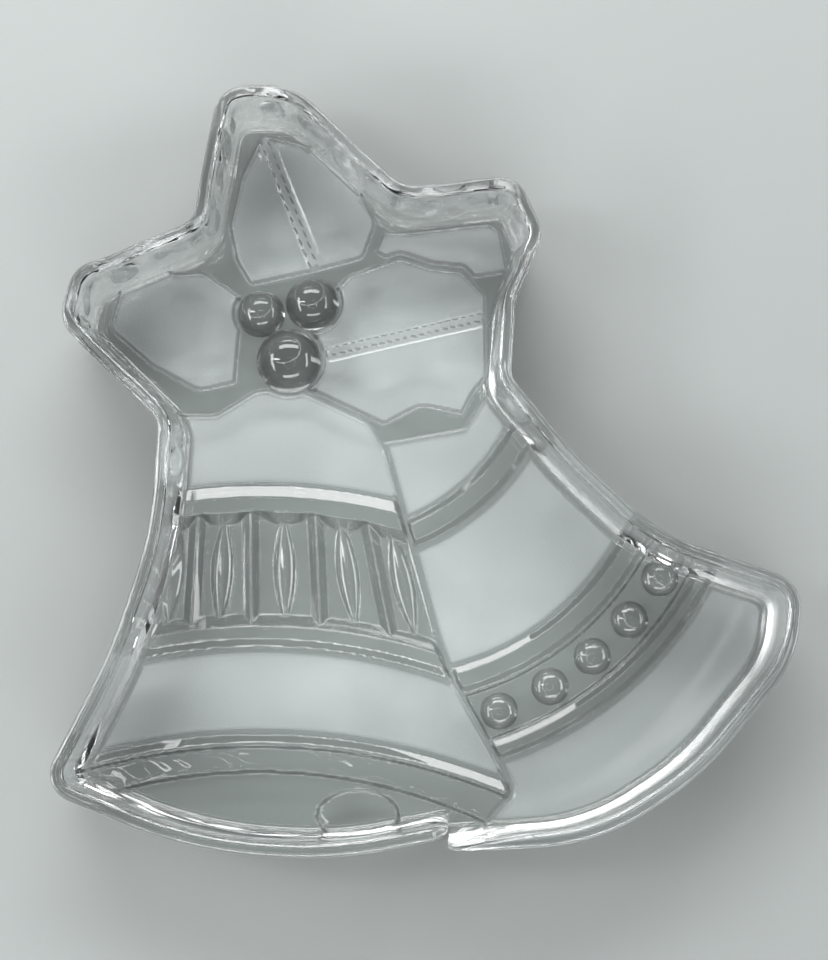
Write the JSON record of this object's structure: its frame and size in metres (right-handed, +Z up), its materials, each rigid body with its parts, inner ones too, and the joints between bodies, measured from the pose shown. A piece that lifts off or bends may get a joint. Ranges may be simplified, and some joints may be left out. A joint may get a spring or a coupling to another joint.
{
  "type": "bell-shaped glass dish",
  "caption": "Shallow pressed-glass sweet dish shaped as overlapping bells under holly leaves and berries, with an upright rim and banded, fluted and beaded relief on its floor.",
  "frame": {"origin": "middle of the plan's bounding box, on the resting surface", "axes": "+Z up out of the hollow, +Y from the mouths of the bells to the tip of the top leaf, +X to the right of the design"},
  "size_m": [0.2006, 0.2109, 0.028],
  "materials": {
    "clear_glass": "fire-polished pressed crystal, clear",
    "frosted_glass": "clear gloss top over a satin-frosted underside"
  },
  "bodies": {
    "root": {"bead_1": "clear_glass", "bead_2": "clear_glass", "bead_3": "clear_glass", "bead_4": "clear_glass", "bead_5": "clear_glass", "berry_1": "clear_glass", "berry_2": "clear_glass", "berry_3": "clear_glass", "berry_bed": "clear_glass", "flute_bar_1": "clear_glass", "flute_bar_2": "clear_glass", "flute_bar_3": "clear_glass", "flute_bar_4": "clear_glass", "flute_olive_1": "clear_glass", "flute_olive_2": "clear_glass", "flute_olive_3": "clear_glass", "flute_olive_4": "clear_glass", "flute_olive_5": "clear_glass", "flute_panel_1": "clear_glass", "flute_panel_2": "clear_glass", "flute_panel_3": "clear_glass", "flute_panel_4": "clear_glass", "flute_panel_5": "clear_glass", "left_bell_clapper": "clear_glass", "left_bell_crown": "frosted_glass", "left_bell_lip_margin": "clear_glass", "left_bell_lip_wall": "clear_glass", "left_bell_lower_band": "clear_glass", "left_bell_mouth": "clear_glass", "left_bell_rim_band": "clear_glass", "left_bell_side_wall": "clear_glass", "left_bell_skirt": "frosted_glass", "left_bell_upper_band": "clear_glass", "left_leaf_bed": "clear_glass", "left_leaf_panel": "frosted_glass", "left_leaf_wall": "clear_glass", "lower_right_leaf_left_half": "frosted_glass", "lower_right_leaf_right_half": "frosted_glass", "lower_right_leaf_vein": "frosted_glass", "right_bell_bead_panel": "clear_glass", "right_bell_crown": "frosted_glass", "right_bell_crown_band": "clear_glass", "right_bell_lip_wall": "clear_glass", "right_bell_lower_ridge": "clear_glass", "right_bell_side_wall": "clear_glass", "right_bell_skirt": "frosted_glass", "right_bell_upper_ridge": "clear_glass", "right_bell_waist": "frosted_glass", "right_leaf_bed": "clear_glass", "right_leaf_wall": "clear_glass", "right_shoulder_wall": "clear_glass", "top_leaf_bed": "clear_glass", "top_leaf_left_half": "frosted_glass", "top_leaf_right_half": "frosted_glass", "top_leaf_vein": "frosted_glass", "top_leaf_wall": "clear_glass", "upper_right_leaf_panel": "frosted_glass"}
  },
  "joints": []
}
